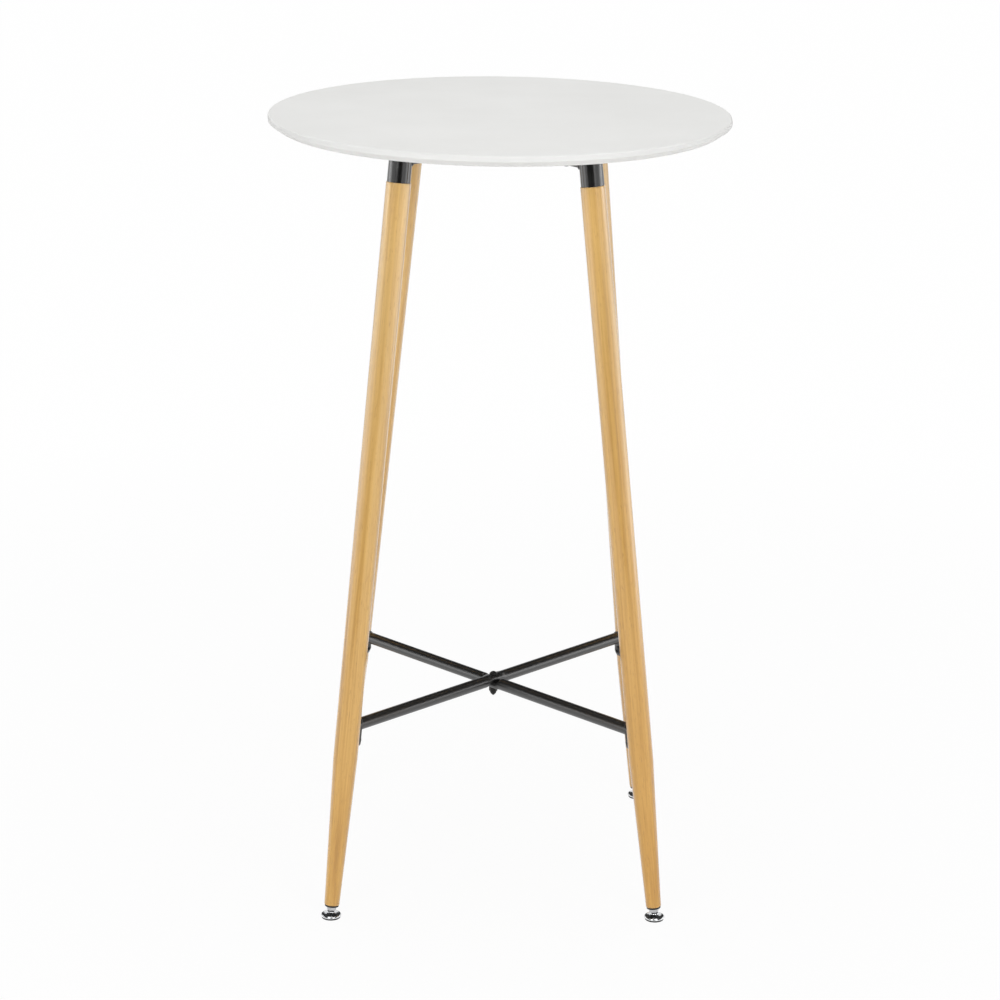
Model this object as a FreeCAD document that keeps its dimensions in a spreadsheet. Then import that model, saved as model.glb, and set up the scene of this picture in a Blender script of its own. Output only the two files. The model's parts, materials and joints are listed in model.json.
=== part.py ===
import FreeCAD, Part
import math
import os
from types import SimpleNamespace

import Sketcher
from FreeCAD import Placement, Rotation, Vector

# Round bar table on four splayed legs, in millimetres. The origin is on the floor under the middle
# of the top, +Z is up and the front is towards -Y. The legs stand on the table's diagonals and lean a
# little sideways too, all the same way round, so that they cross the diagonals at the brace.

DRIVING_SIZES = {
    # whole table
    "table_height": 1035,
    "foot_spread": 303,
    "head_spread": 166,
    "leg_sway": 11,
    # round top, with an upright edge band over an inward bevel
    "top_diameter": 600,
    "top_thickness": 15,
    "top_band": 7,
    "top_bevel_inset": 12,
    "top_rounding": 2,
    "top_softening": 1.5,
    # cross frame of rectangular tube under the top
    "rail_height": 32,
    "rail_width": 20,
    "rail_wall": 1.5,
    "rail_corner": 2.5,
    # sockets at the ends of the rails, each from its leg up to the top
    "socket_diameter": 30,
    "socket_wall": 2.5,
    "socket_length": 54,
    "socket_floor": 5,
    # legs, swaged to a cone at the lower end
    "leg_diameter": 32,
    "leg_wall": 1.5,
    "leg_tip_diameter": 20,
    "leg_taper_length": 200,
    "leg_tip_lift": 18,
    "leg_rounding": 1.2,
    "leg_bush_length": 22,
    "leg_stud_diameter": 8,
    "leg_stud_reach": 9,
    # plug in the tip of the leg, with a nut in a hexagon pocket at its upper end
    "plug_flange_diameter": 18.6,
    "plug_flange": 2.5,
    "plug_rounding": 1,
    "plug_depth": 20,
    "nut_across": 13,
    "nut_height": 6.5,
    # levelling foot
    "foot_thread": 8,
    "foot_thread_length": 36,
    "foot_thread_chamfer": 1,
    "foot_hex_across": 11,
    "foot_hex_height": 5,
    "foot_neck_diameter": 5,
    "foot_ball_diameter": 8,
    "foot_ball_play": 0.1,
    "bell_diameter": 27,
    "bell_height": 9.1,
    "bell_wall": 1.2,
    "bell_rim_height": 3.2,
    "bell_rim_radius": 1.9,
    "bell_shoulder_diameter": 11.2,
    "bell_crown_diameter": 9.6,
    "bell_crown_height": 1.2,
    "bell_flank_radius": 14,
    "bell_mouth": 7.4,
    "pad_diameter": 24.6,
    "pad_rim": 2,
    "pad_core_height": 1.9,
    "pad_well_diameter": 10.6,
    "pad_floor": 1.6,
    "pad_rounding": 0.6,
    # X brace of round tubes, one lying over the other and both pressed flatter where they cross
    "brace_height": 256,
    "brace_offset": 1.6,
    "brace_diameter": 16,
    "brace_wall": 1.2,
    "brace_flat_length": 20,
    "brace_flat_width": 13.2,
    "brace_crown_rise": 1.4,
    "brace_side_bulge": 2.2,
    "brace_flare_length": 7,
    # tabs at the ends of the brace tubes
    "tab_width": 20,
    "tab_thickness": 2.5,
    "tab_rise": 7.5,
    "tab_drop": 27,
    "tab_corner": 8,
    "tab_screw_drop": 18.5,
    # screws, inserts and nuts
    "screw_diameter": 6,
    "screw_head_diameter": 13,
    "bolt_head_diameter": 10.5,
    "screw_head_height": 3.6,
    "screw_head_rim": 1,
    "screw_key": 4,
    "screw_key_depth": 2,
    "tab_screw_length": 16,
    "frame_screw_length": 40,
    "frame_screw_inner": 60,
    "frame_screw_outer": 125,
    "insert_diameter": 9,
    "insert_length": 11,
    "cap_nut_across": 10,
    "cap_nut_hex": 5.5,
    "cap_nut_height": 12,
    "cap_nut_dome": 9,
    "cap_nut_thread_depth": 8.5,
    "rivet_nut_diameter": 9,
    "rivet_nut_length": 12,
    "rivet_nut_inset": 0.9,
    "rivet_bulge_diameter": 12,
    "rivet_bulge_inset": 3.1,
    "rivet_bulge_length": 2.5,
    # clearances and the overrun of cuts
    "thread_gap": 0.1,
    "push_fit_gap": 0.1,
    "hole_gap": 0.3,
    "weld_gap": 0.1,
    "overrun": 5,
}

# corners in the order in which the rails and tubes join them, with their direction from the middle
CORNER_ANGLES = {
    "front_left": 225,
    "front_right": 315,
    "rear_right": 45,
    "rear_left": 135,
}
QUARTER_TURN = 90
HALF_TURN = 180
FULL_TURN = 360
LEGS_COUNT = len(CORNER_ANGLES)
# corners that each brace tube joins
UPPER_TUBE = ["rear_right", "front_left"]
LOWER_TUBE = ["front_right", "rear_left"]
# two lengths that differ by less than this are the same
SAME = 1e-6

# corners of a regular hexagon, as shares of its corner radius
HEX_SIDES = 6
HEX_ANGLES = [math.radians(FULL_TURN * k / HEX_SIDES) for k in range(HEX_SIDES)]
HEX_SHARES = [(math.cos(angle), math.sin(angle)) for angle in HEX_ANGLES]
HEX_CORNER_SHARE = 1 / math.sqrt(3)
# where a round tube's section is divided into four arcs, as a share of its radius
ROUND_CORNER_SHARE = math.sqrt(0.5)
# how far a tube is pressed flat at even steps along its flare
FLARE_SHARES = [1, 0.85, 0.5, 0.15, 0]


class Size:
    """A length together with the sheet formula that gives it."""

    def __init__(self, value, formula):
        self.value = float(value)
        self.formula = formula

    def __float__(self):
        return self.value

    def __add__(self, other):
        return Size(self.value + float(other), "(%s + %s)" % (self.formula, formula_of(other)))

    def __sub__(self, other):
        return Size(self.value - float(other), "(%s - %s)" % (self.formula, formula_of(other)))

    def __mul__(self, other):
        return Size(self.value * float(other), "(%s * %s)" % (self.formula, formula_of(other)))

    def __truediv__(self, other):
        return Size(self.value / float(other), "(%s / %s)" % (self.formula, formula_of(other)))

    def __neg__(self):
        return Size(-self.value, "(-1 * %s)" % self.formula)


def formula_of(number):
    return number.formula if isinstance(number, Size) else repr(float(number))


def root(square):
    return Size(math.sqrt(square.value), "sqrt(%s)" % square.formula)


def is_zero(size):
    return not isinstance(size, Size)


doc = FreeCAD.newDocument("bar_table")
sheet = doc.addObject("Spreadsheet::Sheet", "Sizes")
s = SimpleNamespace()
for row, (size_name, size_value) in enumerate(DRIVING_SIZES.items(), 1):
    sheet.set("A%d" % row, size_name)
    sheet.set("B%d" % row, str(size_value))
    sheet.setAlias("B%d" % row, size_name)
    setattr(s, size_name, Size(size_value, "Sizes." + size_name))
doc.recompute()
nodes = []


# Sizes that follow from the driving ones

underside = s.table_height - s.top_thickness
rail_bottom = underside - s.rail_height
leg_run = s.foot_spread - s.head_spread
slope_line = root(leg_run * leg_run + underside * underside)
leg_line = root(slope_line * slope_line + s.leg_sway * s.leg_sway)
lean_sin = leg_run / slope_line
lean_degrees = math.degrees(math.asin(float(lean_sin)))
sway_degrees = math.degrees(math.asin(float(s.leg_sway / leg_line)))


def along_leg(height):
    """Distance from the floor, along a leg's axis, of the point at this height."""
    return height * leg_line / underside


def spread_at(height):
    """Distance of a leg's axis from the table's middle, along its diagonal, at this height."""
    return s.foot_spread - height * leg_run / underside


def aside_at(height):
    """Distance of a leg's axis from its diagonal, counter-clockwise, at this height."""
    return (s.brace_height - height) * s.leg_sway / underside


leg_radius = s.leg_diameter / 2
leg_bore = leg_radius - s.leg_wall
leg_tip_bore = s.leg_tip_diameter / 2 - s.leg_wall
leg_top = leg_line - s.socket_length
socket_radius = s.socket_diameter / 2
socket_spread = spread_at(rail_bottom + s.rail_height / 2)
socket_aside = aside_at(rail_bottom + s.rail_height / 2)
rail_reach = root(socket_spread * socket_spread + socket_aside * socket_aside)
rail_degrees = math.degrees(math.atan2(float(socket_aside), float(socket_spread)))
screw_radius = s.screw_diameter / 2
screw_hole = screw_radius + s.hole_gap
thread_hole = screw_radius + s.thread_gap
leg_stud_hole = s.leg_stud_diameter / 2 + s.thread_gap
foot_thread_radius = s.foot_thread / 2
foot_thread_hole = foot_thread_radius + s.thread_gap
ball_radius = s.foot_ball_diameter / 2
ball_lift = s.pad_floor + s.foot_ball_play + ball_radius
foot_hex_bottom = s.leg_tip_lift - s.plug_flange - s.foot_hex_height
brace_radius = s.brace_diameter / 2
tab_inner = leg_radius + s.push_fit_gap
tab_outer = tab_inner + s.tab_thickness
tab_level = along_leg(s.brace_height + tab_outer * lean_sin)
tab_screw_level = tab_level - s.tab_screw_drop


# Frames in which the pieces are placed

def turned(direction):
    """Turned about the table's upright axis towards a corner."""
    return Placement(Vector(), Rotation(Vector(0, 0, 1), direction))


def lifted(height, direction=0):
    return Placement(Vector(0, 0, height), Rotation(Vector(0, 0, 1), direction))


def leg_frame(direction):
    """A leg's own frame: +Z runs up its axis from the floor and +X points away from the table."""
    lean = Rotation(Vector(0, 1, 0), -lean_degrees)
    sway = Rotation(Vector(1, 0, 0), sway_degrees)
    foot = Placement(Vector(s.foot_spread, aside_at(0), 0), lean.multiply(sway))
    return turned(direction).multiply(foot)


def rail_frame(direction, height):
    """Upright frame with +X along the rail that reaches the leg of this corner."""
    return lifted(height, direction + rail_degrees)


def foot_frame(direction):
    """Upright frame of a foot's base, on the floor under the ball."""
    under_ball = Vector(spread_at(ball_lift), aside_at(ball_lift), 0)
    return turned(direction).multiply(Placement(under_ball, Rotation()))


def facing_inward(direction, distance, level):
    """On a leg's inner side, with +Z pointing away from the leg towards the table's middle."""
    side = Placement(Vector(-distance, 0, level), Rotation(Vector(0, 1, 0), -QUARTER_TURN))
    return leg_frame(direction).multiply(side)


# Building blocks

def new_body(name):
    return doc.addObject("PartDesign::Body", name)


def bind(thing, prop, size):
    setattr(thing, prop, float(size))
    thing.setExpression(prop, size.formula)


def sketch_on(body, role, lift=None):
    sketch = body.newObject("Sketcher::SketchObject", body.Name + "_sketch")
    plane = next(feature for feature in body.Origin.OriginFeatures if feature.Role == role)
    sketch.AttachmentSupport = [(plane, "")]
    sketch.MapMode = "FlatFace"
    if lift is not None:
        sketch.AttachmentOffset = Placement(Vector(0, 0, lift), Rotation())
        sketch.setExpression("AttachmentOffset.Base.z", lift.formula)
    return sketch


def tie(sketch, ties):
    """Add constraints together; each is its words and, where it has one, its size."""
    first = sketch.ConstraintCount
    constraints = []
    for words, size in ties:
        amount = () if size is None else (float(size),)
        constraints.append(Sketcher.Constraint(*words, *amount))
    sketch.addConstraint(constraints)
    for row, (words, size) in enumerate(ties, first):
        if size is not None:
            sketch.setExpression("Constraints[%d]" % row, size.formula)


def point_ties(piece, end, across, up):
    """Constraints that hold one end of a line or arc at its distances from the sketch's origin."""
    ties = []
    for size, kind, axis in ((across, "DistanceX", -2), (up, "DistanceY", -1)):
        if is_zero(size):
            ties.append((("PointOnObject", piece, end, axis), None))
        else:
            ties.append(((kind, -1, 1, piece, end), size))
    return ties


def arc_radius(half_chord, rise):
    """Radius of the arc that rises this far over a chord."""
    return (half_chord * half_chord + rise * rise) / (rise * 2)


def arc_through(a, b, radius):
    """Arc from a to b; a positive radius bulges to the right of the way, a negative one to the left."""
    half = (b - a) / 2
    rise = math.sqrt(max(radius * radius - half.Length * half.Length, 0))
    right = Vector(half.y, -half.x, 0).normalize() * math.copysign(1, radius)
    middle = a + half + right * (abs(radius) - rise)
    return Part.Arc(a, middle, b)


def outline(sketch, points, arcs=None):
    """Closed outline through points; arcs gives the radius of each arc under the number of its start."""
    arcs = arcs or {}
    first = sketch.GeometryCount
    count = len(points)
    corners = [Vector(*point, 0) for point in points]
    ends = []
    for index, a in enumerate(corners):
        b = corners[(index + 1) % count]
        piece = arc_through(a, b, float(arcs[index])) if index in arcs else Part.LineSegment(a, b)
        row = sketch.addGeometry(piece, False)
        backward = sketch.getPoint(row, 1).distanceToPoint(a) > sketch.getPoint(row, 2).distanceToPoint(a)
        ends.append((2, 1) if backward else (1, 2))
    ties = []
    for index, point in enumerate(points):
        following = (index + 1) % count
        join = ("Coincident", first + index, ends[index][1], first + following, ends[following][0])
        ties.append((join, None))
        ties.extend(point_ties(first + index, ends[index][0], *point))
        if index in arcs:
            radius = arcs[index]
            ties.append((("Radius", first + index), radius if float(radius) > 0 else -radius))
    tie(sketch, ties)
    return sketch


def circle(sketch, radius, across=0, up=0):
    row = sketch.addGeometry(Part.Circle(Vector(across, up, 0), Vector(0, 0, 1), float(radius)), False)
    tie(sketch, [(("Radius", row), radius)] + point_ties(row, 3, across, up))
    return sketch


def rectangle(sketch, width, low, high):
    half = width / 2
    return outline(sketch, [(-half, low), (half, low), (half, high), (-half, high)])


def hexagon(sketch, across):
    corner = across * HEX_CORNER_SHARE
    points = []
    for x_share, y_share in HEX_SHARES:
        points.append((corner * x_share, corner * y_share if abs(y_share) > SAME else 0))
    return outline(sketch, points)


def revolve(body, points, arcs=None):
    """Turn an outline of (radius, height) points about the body's +Z axis."""
    sketch = outline(sketch_on(body, "XZ_Plane"), points, arcs)
    feature = body.newObject("PartDesign::Revolution", body.Name + "_turned")
    feature.Profile = sketch
    feature.ReferenceAxis = (sketch, ["V_Axis"])
    feature.Angle = FULL_TURN
    return feature


def pad(body, sketch, length, side="One side", reverse=False):
    feature = body.newObject("PartDesign::Pad", body.Name + "_pad")
    feature.Profile = sketch
    feature.SideType = side
    feature.Reversed = reverse
    bind(feature, "Length", length)
    return feature


def pocket(body, sketch, length, reverse=False):
    """Cut a sketch into the body, and make sure that it removes material."""
    doc.recompute()
    before = body.Shape.Volume
    feature = body.newObject("PartDesign::Pocket", body.Name + "_cut")
    feature.Profile = sketch
    feature.Reversed = reverse
    bind(feature, "Length", length)
    doc.recompute()
    if body.Shape.Volume >= before:
        raise RuntimeError("a cut in %s removes nothing" % body.Name)
    return feature


def round_edges(body, radius, wanted):
    """Fillet the edges of the body's last feature that the test picks."""
    doc.recompute()
    base = body.Tip
    names = ["Edge%d" % k for k, edge in enumerate(base.Shape.Edges, 1) if wanted(edge)]
    feature = body.newObject("PartDesign::Fillet", body.Name + "_rounded")
    feature.Base = (base, names)
    bind(feature, "Radius", radius)
    return feature


def is_ring(radius, height):
    """Test for a full round edge of this radius at this height."""
    def test(edge):
        if not isinstance(edge.Curve, Part.Circle) or len(edge.Vertexes) > 1:
            return False
        same_radius = math.isclose(edge.Curve.Radius, float(radius), abs_tol=SAME)
        return same_radius and math.isclose(edge.Curve.Center.z, float(height), abs_tol=SAME)
    return test


def runs_along(across):
    """Test for a straight edge along X at this distance to either side."""
    def test(edge):
        if not isinstance(edge.Curve, Part.Line) or abs(edge.Curve.Direction.x) < 1 - SAME:
            return False
        return math.isclose(abs(edge.CenterOfMass.y), float(across), abs_tol=SAME)
    return test


def node(thing, label, placement=None):
    """Take an object as one of the table's pieces."""
    thing.Label = label
    if placement is not None:
        thing.Placement = placement
    nodes.append(thing)
    return thing


def group(label, piece, placements):
    """A set of like pieces, each a separate solid, in one node."""
    links = []
    for placement in placements:
        link = doc.addObject("App::Link", label + "_copy")
        link.LinkedObject = piece
        link.Placement = placement
        links.append(link)
    compound = doc.addObject("Part::Compound", label)
    compound.Links = links
    return node(compound, label)


def cut(label, base, tool):
    feature = doc.addObject("Part::Cut", label)
    feature.Base = base
    feature.Tool = tool
    return feature


# Fasteners, with +Z out of the head and the shank below zero

def dome_screw(name, length, head_diameter):
    """Screw with a low domed head and a hexagon socket in it."""
    body = new_body(name)
    head = head_diameter / 2
    dome = s.screw_head_height - s.screw_head_rim
    points = [(0, -length), (screw_radius, -length), (screw_radius, 0), (head, 0),
              (head, s.screw_head_rim), (0, s.screw_head_height)]
    revolve(body, points, {4: arc_radius(head, dome)})
    key = hexagon(sketch_on(body, "XY_Plane", s.screw_head_height - s.screw_key_depth), s.screw_key)
    pocket(body, key, s.screw_key_depth + s.overrun, reverse=True)
    return body


def ring(name, bore, radius, low, high):
    body = new_body(name)
    revolve(body, [(bore, low), (radius, low), (radius, high), (bore, high)])
    return body


def hex_nut(name, across, height, bore):
    body = new_body(name)
    pad(body, circle(hexagon(sketch_on(body, "XY_Plane"), across), bore), height)
    return body


# Round top

def table_top():
    body = new_body("table_top")
    radius = s.top_diameter / 2
    knee = s.top_thickness - s.top_band
    points = [(0, 0), (radius - s.top_bevel_inset, 0), (radius, knee),
              (radius, s.top_thickness - s.top_rounding),
              (radius - s.top_rounding, s.top_thickness), (0, s.top_thickness)]
    revolve(body, points, {3: s.top_rounding})
    round_edges(body, s.top_softening, is_ring(radius, knee))
    round_edges(body, s.top_softening, is_ring(radius - s.top_bevel_inset, 0))
    holes = sketch_on(body, "XY_Plane")
    for distance in (s.frame_screw_inner, s.frame_screw_outer):
        circle(holes, s.insert_diameter / 2 + s.push_fit_gap, distance)
    first = pocket(body, holes, s.insert_length + s.hole_gap, reverse=True)
    pattern = body.newObject("PartDesign::PolarPattern", "insert_holes")
    pattern.Originals = [first]
    pattern.Axis = (holes, ["N_Axis"])
    pattern.Angle = FULL_TURN
    pattern.Occurrences = LEGS_COUNT
    body.Tip = pattern
    node(body, "table_top", rail_frame(CORNER_ANGLES["rear_right"], underside))


def frame_screw_places(height):
    """Where the rails are screwed to the top, with +Z pointing down."""
    places = []
    for direction in CORNER_ANGLES.values():
        for distance in (s.frame_screw_inner, s.frame_screw_outer):
            over = Placement(Vector(distance, 0, 0), Rotation(Vector(1, 0, 0), HALF_TURN))
            places.append(rail_frame(direction, height).multiply(over))
    return places


def top_fasteners():
    insert = ring("top_insert", thread_hole, s.insert_diameter / 2, -s.insert_length, 0)
    group("top_inserts", insert, frame_screw_places(underside))
    screw = dome_screw("frame_screw", s.frame_screw_length, s.screw_head_diameter)
    group("frame_screws", screw, frame_screw_places(rail_bottom))


# Cross frame

def socket_space(name, direction):
    """Room for a socket, with the weld's gap around it."""
    space = doc.addObject("Part::Cylinder", name)
    bind(space, "Radius", socket_radius + s.weld_gap)
    bind(space, "Height", s.socket_length + s.overrun)
    space.Placement = leg_frame(direction).multiply(Placement(Vector(0, 0, leg_top), Rotation()))
    return space


def rail(label, low, length, side, screw_distances, corners):
    """Rectangular tube, coped to the sockets it meets, with holes for the screws into the top."""
    body = new_body(label + "_tube")
    section = sketch_on(body, "YZ_Plane", low)
    rectangle(section, s.rail_width, 0, s.rail_height)
    rectangle(section, s.rail_width - s.rail_wall * 2, s.rail_wall, s.rail_height - s.rail_wall)
    pad(body, section, length, side)
    round_edges(body, s.rail_corner, runs_along(s.rail_width / 2))
    round_edges(body, s.rail_corner - s.rail_wall, runs_along(s.rail_width / 2 - s.rail_wall))
    holes = sketch_on(body, "XY_Plane")
    for distance in screw_distances:
        circle(holes, screw_hole, distance)
    pocket(body, holes, s.rail_height + s.overrun, reverse=True)
    body.Placement = rail_frame(CORNER_ANGLES[corners[0]], rail_bottom)
    coped = body
    for corner in corners:
        space = socket_space("%s_space_%s" % (label, corner), CORNER_ANGLES[corner])
        coped = cut("%s_coped_%s" % (label, corner), coped, space)
    node(coped, label)


def cross_frame():
    side = s.rail_width / 2
    pair = [s.frame_screw_inner, s.frame_screw_outer]
    both_ways = pair + [-distance for distance in pair]
    rail("frame_rail_long", None, rail_reach * 2, "Symmetric", both_ways, ["rear_right", "front_left"])
    rail("frame_rail_left", side, rail_reach - side, "One side", pair, ["rear_left"])
    rail("frame_rail_right", side, rail_reach - side, "One side", pair, ["front_right"])


def leg_socket(corner, direction):
    """Collar in line with the leg, cut level under the top, with a floor that takes the stud."""
    body = new_body("socket_collar_" + corner)
    inner = socket_radius - s.socket_wall
    floor = leg_top + s.socket_floor
    head = leg_line + s.socket_diameter * leg_run / underside
    points = [(leg_stud_hole, leg_top), (socket_radius, leg_top), (socket_radius, head),
              (inner, head), (inner, floor), (leg_stud_hole, floor)]
    revolve(body, points)
    body.Placement = leg_frame(direction)
    above = doc.addObject("Part::Box", "above_socket_" + corner)
    bind(above, "Length", s.socket_diameter * 2)
    bind(above, "Width", s.socket_diameter * 2)
    bind(above, "Height", s.socket_length)
    middle = Vector(s.head_spread, aside_at(underside), underside)
    low_corner = middle - Vector(s.socket_diameter, s.socket_diameter, 0)
    above.Placement = turned(direction).multiply(Placement(low_corner, Rotation()))
    node(cut("leg_socket_" + corner, body, above), "leg_socket_" + corner)


# Legs

def leg(corner, direction):
    """Steel tube, straight above and swaged to a cone below, with a hole for the brace's rivet nut."""
    body = new_body("leg_" + corner)
    knee = s.leg_tip_lift + s.leg_taper_length
    points = [(leg_tip_bore, s.leg_tip_lift), (leg_tip_bore + s.leg_wall, s.leg_tip_lift),
              (leg_radius, knee), (leg_radius, leg_top), (leg_bore, leg_top), (leg_bore, knee)]
    revolve(body, points)
    round_edges(body, s.leg_rounding, is_ring(leg_tip_bore + s.leg_wall, s.leg_tip_lift))
    round_edges(body, s.leg_rounding, is_ring(leg_radius, leg_top))
    hole_radius = s.rivet_nut_diameter / 2 + s.push_fit_gap
    hole = circle(sketch_on(body, "YZ_Plane"), hole_radius, 0, tab_screw_level)
    pocket(body, hole, leg_radius + s.overrun)
    node(body, "leg_" + corner, leg_frame(direction))


def leg_head_bush(corner, direction):
    label = "leg_head_bush_" + corner
    body = ring(label, leg_stud_hole, leg_bore - s.push_fit_gap, leg_top - s.leg_bush_length, leg_top)
    node(body, label, leg_frame(direction))


def leg_studs():
    stud = doc.addObject("Part::Cylinder", "leg_stud")
    bind(stud, "Radius", s.leg_stud_diameter / 2)
    bind(stud, "Height", s.leg_bush_length + s.socket_floor + s.leg_stud_reach)
    low = Placement(Vector(0, 0, leg_top - s.leg_bush_length), Rotation())
    group("leg_studs", stud, [leg_frame(direction).multiply(low) for direction in CORNER_ANGLES.values()])


def leg_tip_plug(corner, direction):
    """Plug in the leg's tip, with a hexagon pocket for the nut at its upper end."""
    body = new_body("leg_tip_plug_" + corner)
    low = s.leg_tip_lift - s.plug_flange
    high = s.leg_tip_lift + s.plug_depth
    shank = leg_tip_bore - s.push_fit_gap
    flange = s.plug_flange_diameter / 2
    points = [(foot_thread_hole, low), (flange, low), (flange, s.leg_tip_lift),
              (shank, s.leg_tip_lift), (shank, high), (foot_thread_hole, high)]
    revolve(body, points)
    round_edges(body, s.plug_rounding, is_ring(flange, low))
    seat = hexagon(sketch_on(body, "XY_Plane", high - s.nut_height), s.nut_across + s.push_fit_gap * 2)
    pocket(body, seat, s.nut_height + s.overrun, reverse=True)
    node(body, "leg_tip_plug_" + corner, leg_frame(direction))


def tip_nuts():
    nut = hex_nut("tip_nut", s.nut_across, s.nut_height, foot_thread_hole)
    seat = Placement(Vector(0, 0, s.leg_tip_lift + s.plug_depth - s.nut_height), Rotation())
    group("tip_nuts", nut, [leg_frame(direction).multiply(seat) for direction in CORNER_ANGLES.values()])


# Levelling feet

def foot_stud(corner, direction):
    """Ball, neck, hexagon and thread in one piece, on the leg's axis."""
    body = new_body("foot_stud_" + corner)
    ball = along_leg(ball_lift)
    neck = s.foot_neck_diameter / 2
    neck_start = ball + root(ball_radius * ball_radius - neck * neck)
    end = foot_hex_bottom + s.foot_hex_height + s.foot_thread_length
    points = [(0, ball - ball_radius), (ball_radius, ball), (neck, neck_start), (neck, foot_hex_bottom),
              (foot_thread_radius, foot_hex_bottom), (foot_thread_radius, end - s.foot_thread_chamfer),
              (foot_thread_radius - s.foot_thread_chamfer, end), (0, end)]
    revolve(body, points, {0: ball_radius, 1: ball_radius})
    pad(body, hexagon(sketch_on(body, "XY_Plane", foot_hex_bottom), s.foot_hex_across), s.foot_hex_height)
    node(body, "foot_stud_" + corner, leg_frame(direction))


def foot_bell(corner, direction):
    """Pressed bell with a rolled rim, a hollow flank and a crown around the stud's neck."""
    body = new_body("foot_bell_" + corner)
    rim = s.bell_diameter / 2
    lip = s.pad_diameter / 2
    shoulder = s.bell_shoulder_diameter / 2
    crown = s.bell_crown_diameter / 2
    mouth = s.bell_mouth / 2
    rim_middle = s.pad_rim + s.bell_rim_height / 2
    rim_top = s.pad_rim + s.bell_rim_height
    crown_low = s.bell_height - s.bell_crown_height
    inner = lip - s.bell_wall
    ceiling = s.bell_height - s.bell_wall
    well = s.pad_well_diameter / 2 - s.bell_wall / 2
    points = [(inner, s.pad_rim), (lip, s.pad_rim), (rim, rim_middle), (lip, rim_top),
              (shoulder, crown_low), (crown, s.bell_height), (mouth, s.bell_height), (mouth, ceiling),
              (well, ceiling), (well, rim_top - s.bell_wall + s.bell_rim_height / 2),
              (inner, rim_top - s.bell_wall)]
    arcs = {1: s.bell_rim_radius, 2: s.bell_rim_radius, 3: -s.bell_flank_radius, 4: s.bell_rim_radius}
    revolve(body, points, arcs)
    node(body, "foot_bell_" + corner, foot_frame(direction))


def foot_pad(corner, direction):
    """Pad under the bell, with a core that fills the rim and a well for the ball."""
    body = new_body("foot_pad_" + corner)
    rim = s.pad_diameter / 2
    core = rim - s.bell_wall - s.push_fit_gap
    top = s.pad_rim + s.pad_core_height
    well = s.pad_well_diameter / 2
    points = [(0, 0), (rim - s.pad_rounding, 0), (rim, s.pad_rounding), (rim, s.pad_rim),
              (core, s.pad_rim), (core, top), (well, top), (well, s.pad_floor), (0, s.pad_floor)]
    revolve(body, points, {1: s.pad_rounding})
    node(body, "foot_pad_" + corner, foot_frame(direction))


# X brace

def pressed_section(body, place, share):
    """Section of the tube, from round at a share of 0 to fully pressed at a share of 1.

    It is four arcs; the crown keeps its level while the lower side is pressed up to the other tube."""
    round_corner = brace_radius * ROUND_CORNER_SHARE
    round_bulge = brace_radius - round_corner
    across = round_corner * (1 - share) + s.brace_flat_width / 2 * share
    high = round_corner * (1 - share) + (brace_radius - s.brace_crown_rise) * share
    low = -(round_corner * (1 - share) + s.brace_offset * share)
    crown_rise = round_bulge * (1 - share) + s.brace_crown_rise * share
    side_bulge = round_bulge * (1 - share) + s.brace_side_bulge * share
    side_radius = arc_radius((high - low) / 2, side_bulge)
    arcs = {1: side_radius, 2: arc_radius(across, crown_rise), 3: side_radius}
    if share < 1:
        arcs[0] = arc_radius(across, round_bulge * (1 - share))
    sketch = sketch_on(body, "YZ_Plane", place)
    return outline(sketch, [(-across, low), (across, low), (across, high), (-across, high)], arcs)


def pressed_tube(name, placement):
    """Round tube along X with a flattened middle, bored for the bolt."""
    body = new_body(name)
    flat_end = s.brace_flat_length / 2
    pad(body, pressed_section(body, -flat_end, 1), s.brace_flat_length)
    steps = len(FLARE_SHARES) - 1
    flare_end = flat_end + s.brace_flare_length
    reach = spread_at(s.brace_height)
    for outward in (1, -1):
        sections = []
        for step, share in enumerate(FLARE_SHARES):
            place = (flat_end + s.brace_flare_length * (step / steps)) * outward
            sections.append(pressed_section(body, place, share))
        flare = body.newObject("PartDesign::AdditiveLoft", name + "_flare")
        flare.Profile = sections[0]
        flare.Sections = sections[1:]
        wall = circle(sketch_on(body, "YZ_Plane", flare_end * outward), brace_radius)
        circle(wall, brace_radius - s.brace_wall)
        pad(body, wall, reach - flare_end, reverse=outward < 0)
    bore = circle(sketch_on(body, "XY_Plane", -s.brace_offset), screw_hole)
    pocket(body, bore, s.brace_diameter, reverse=True)
    body.Placement = placement
    return body


def brace_tube(label, corners, way):
    """Tube from leg to leg, above or below the brace's middle, its ends cut to the tabs."""
    direction = CORNER_ANGLES[corners[0]]
    roll = Placement(Vector(), Rotation(Vector(1, 0, 0), HALF_TURN if way < 0 else 0))
    level = s.brace_height + s.brace_offset * way
    tube = pressed_tube(label + "_pressing", lifted(level, direction).multiply(roll))
    for corner in corners:
        mouth = doc.addObject("Part::Cylinder", label + "_mouth")
        bind(mouth, "Radius", tab_outer + s.weld_gap)
        bind(mouth, "Height", s.brace_diameter * 2)
        low = Placement(Vector(0, 0, tab_level - s.brace_diameter), Rotation())
        mouth.Placement = leg_frame(CORNER_ANGLES[corner]).multiply(low)
        tube = cut(label + "_" + corner, tube, mouth)
    node(tube, label)


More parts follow.
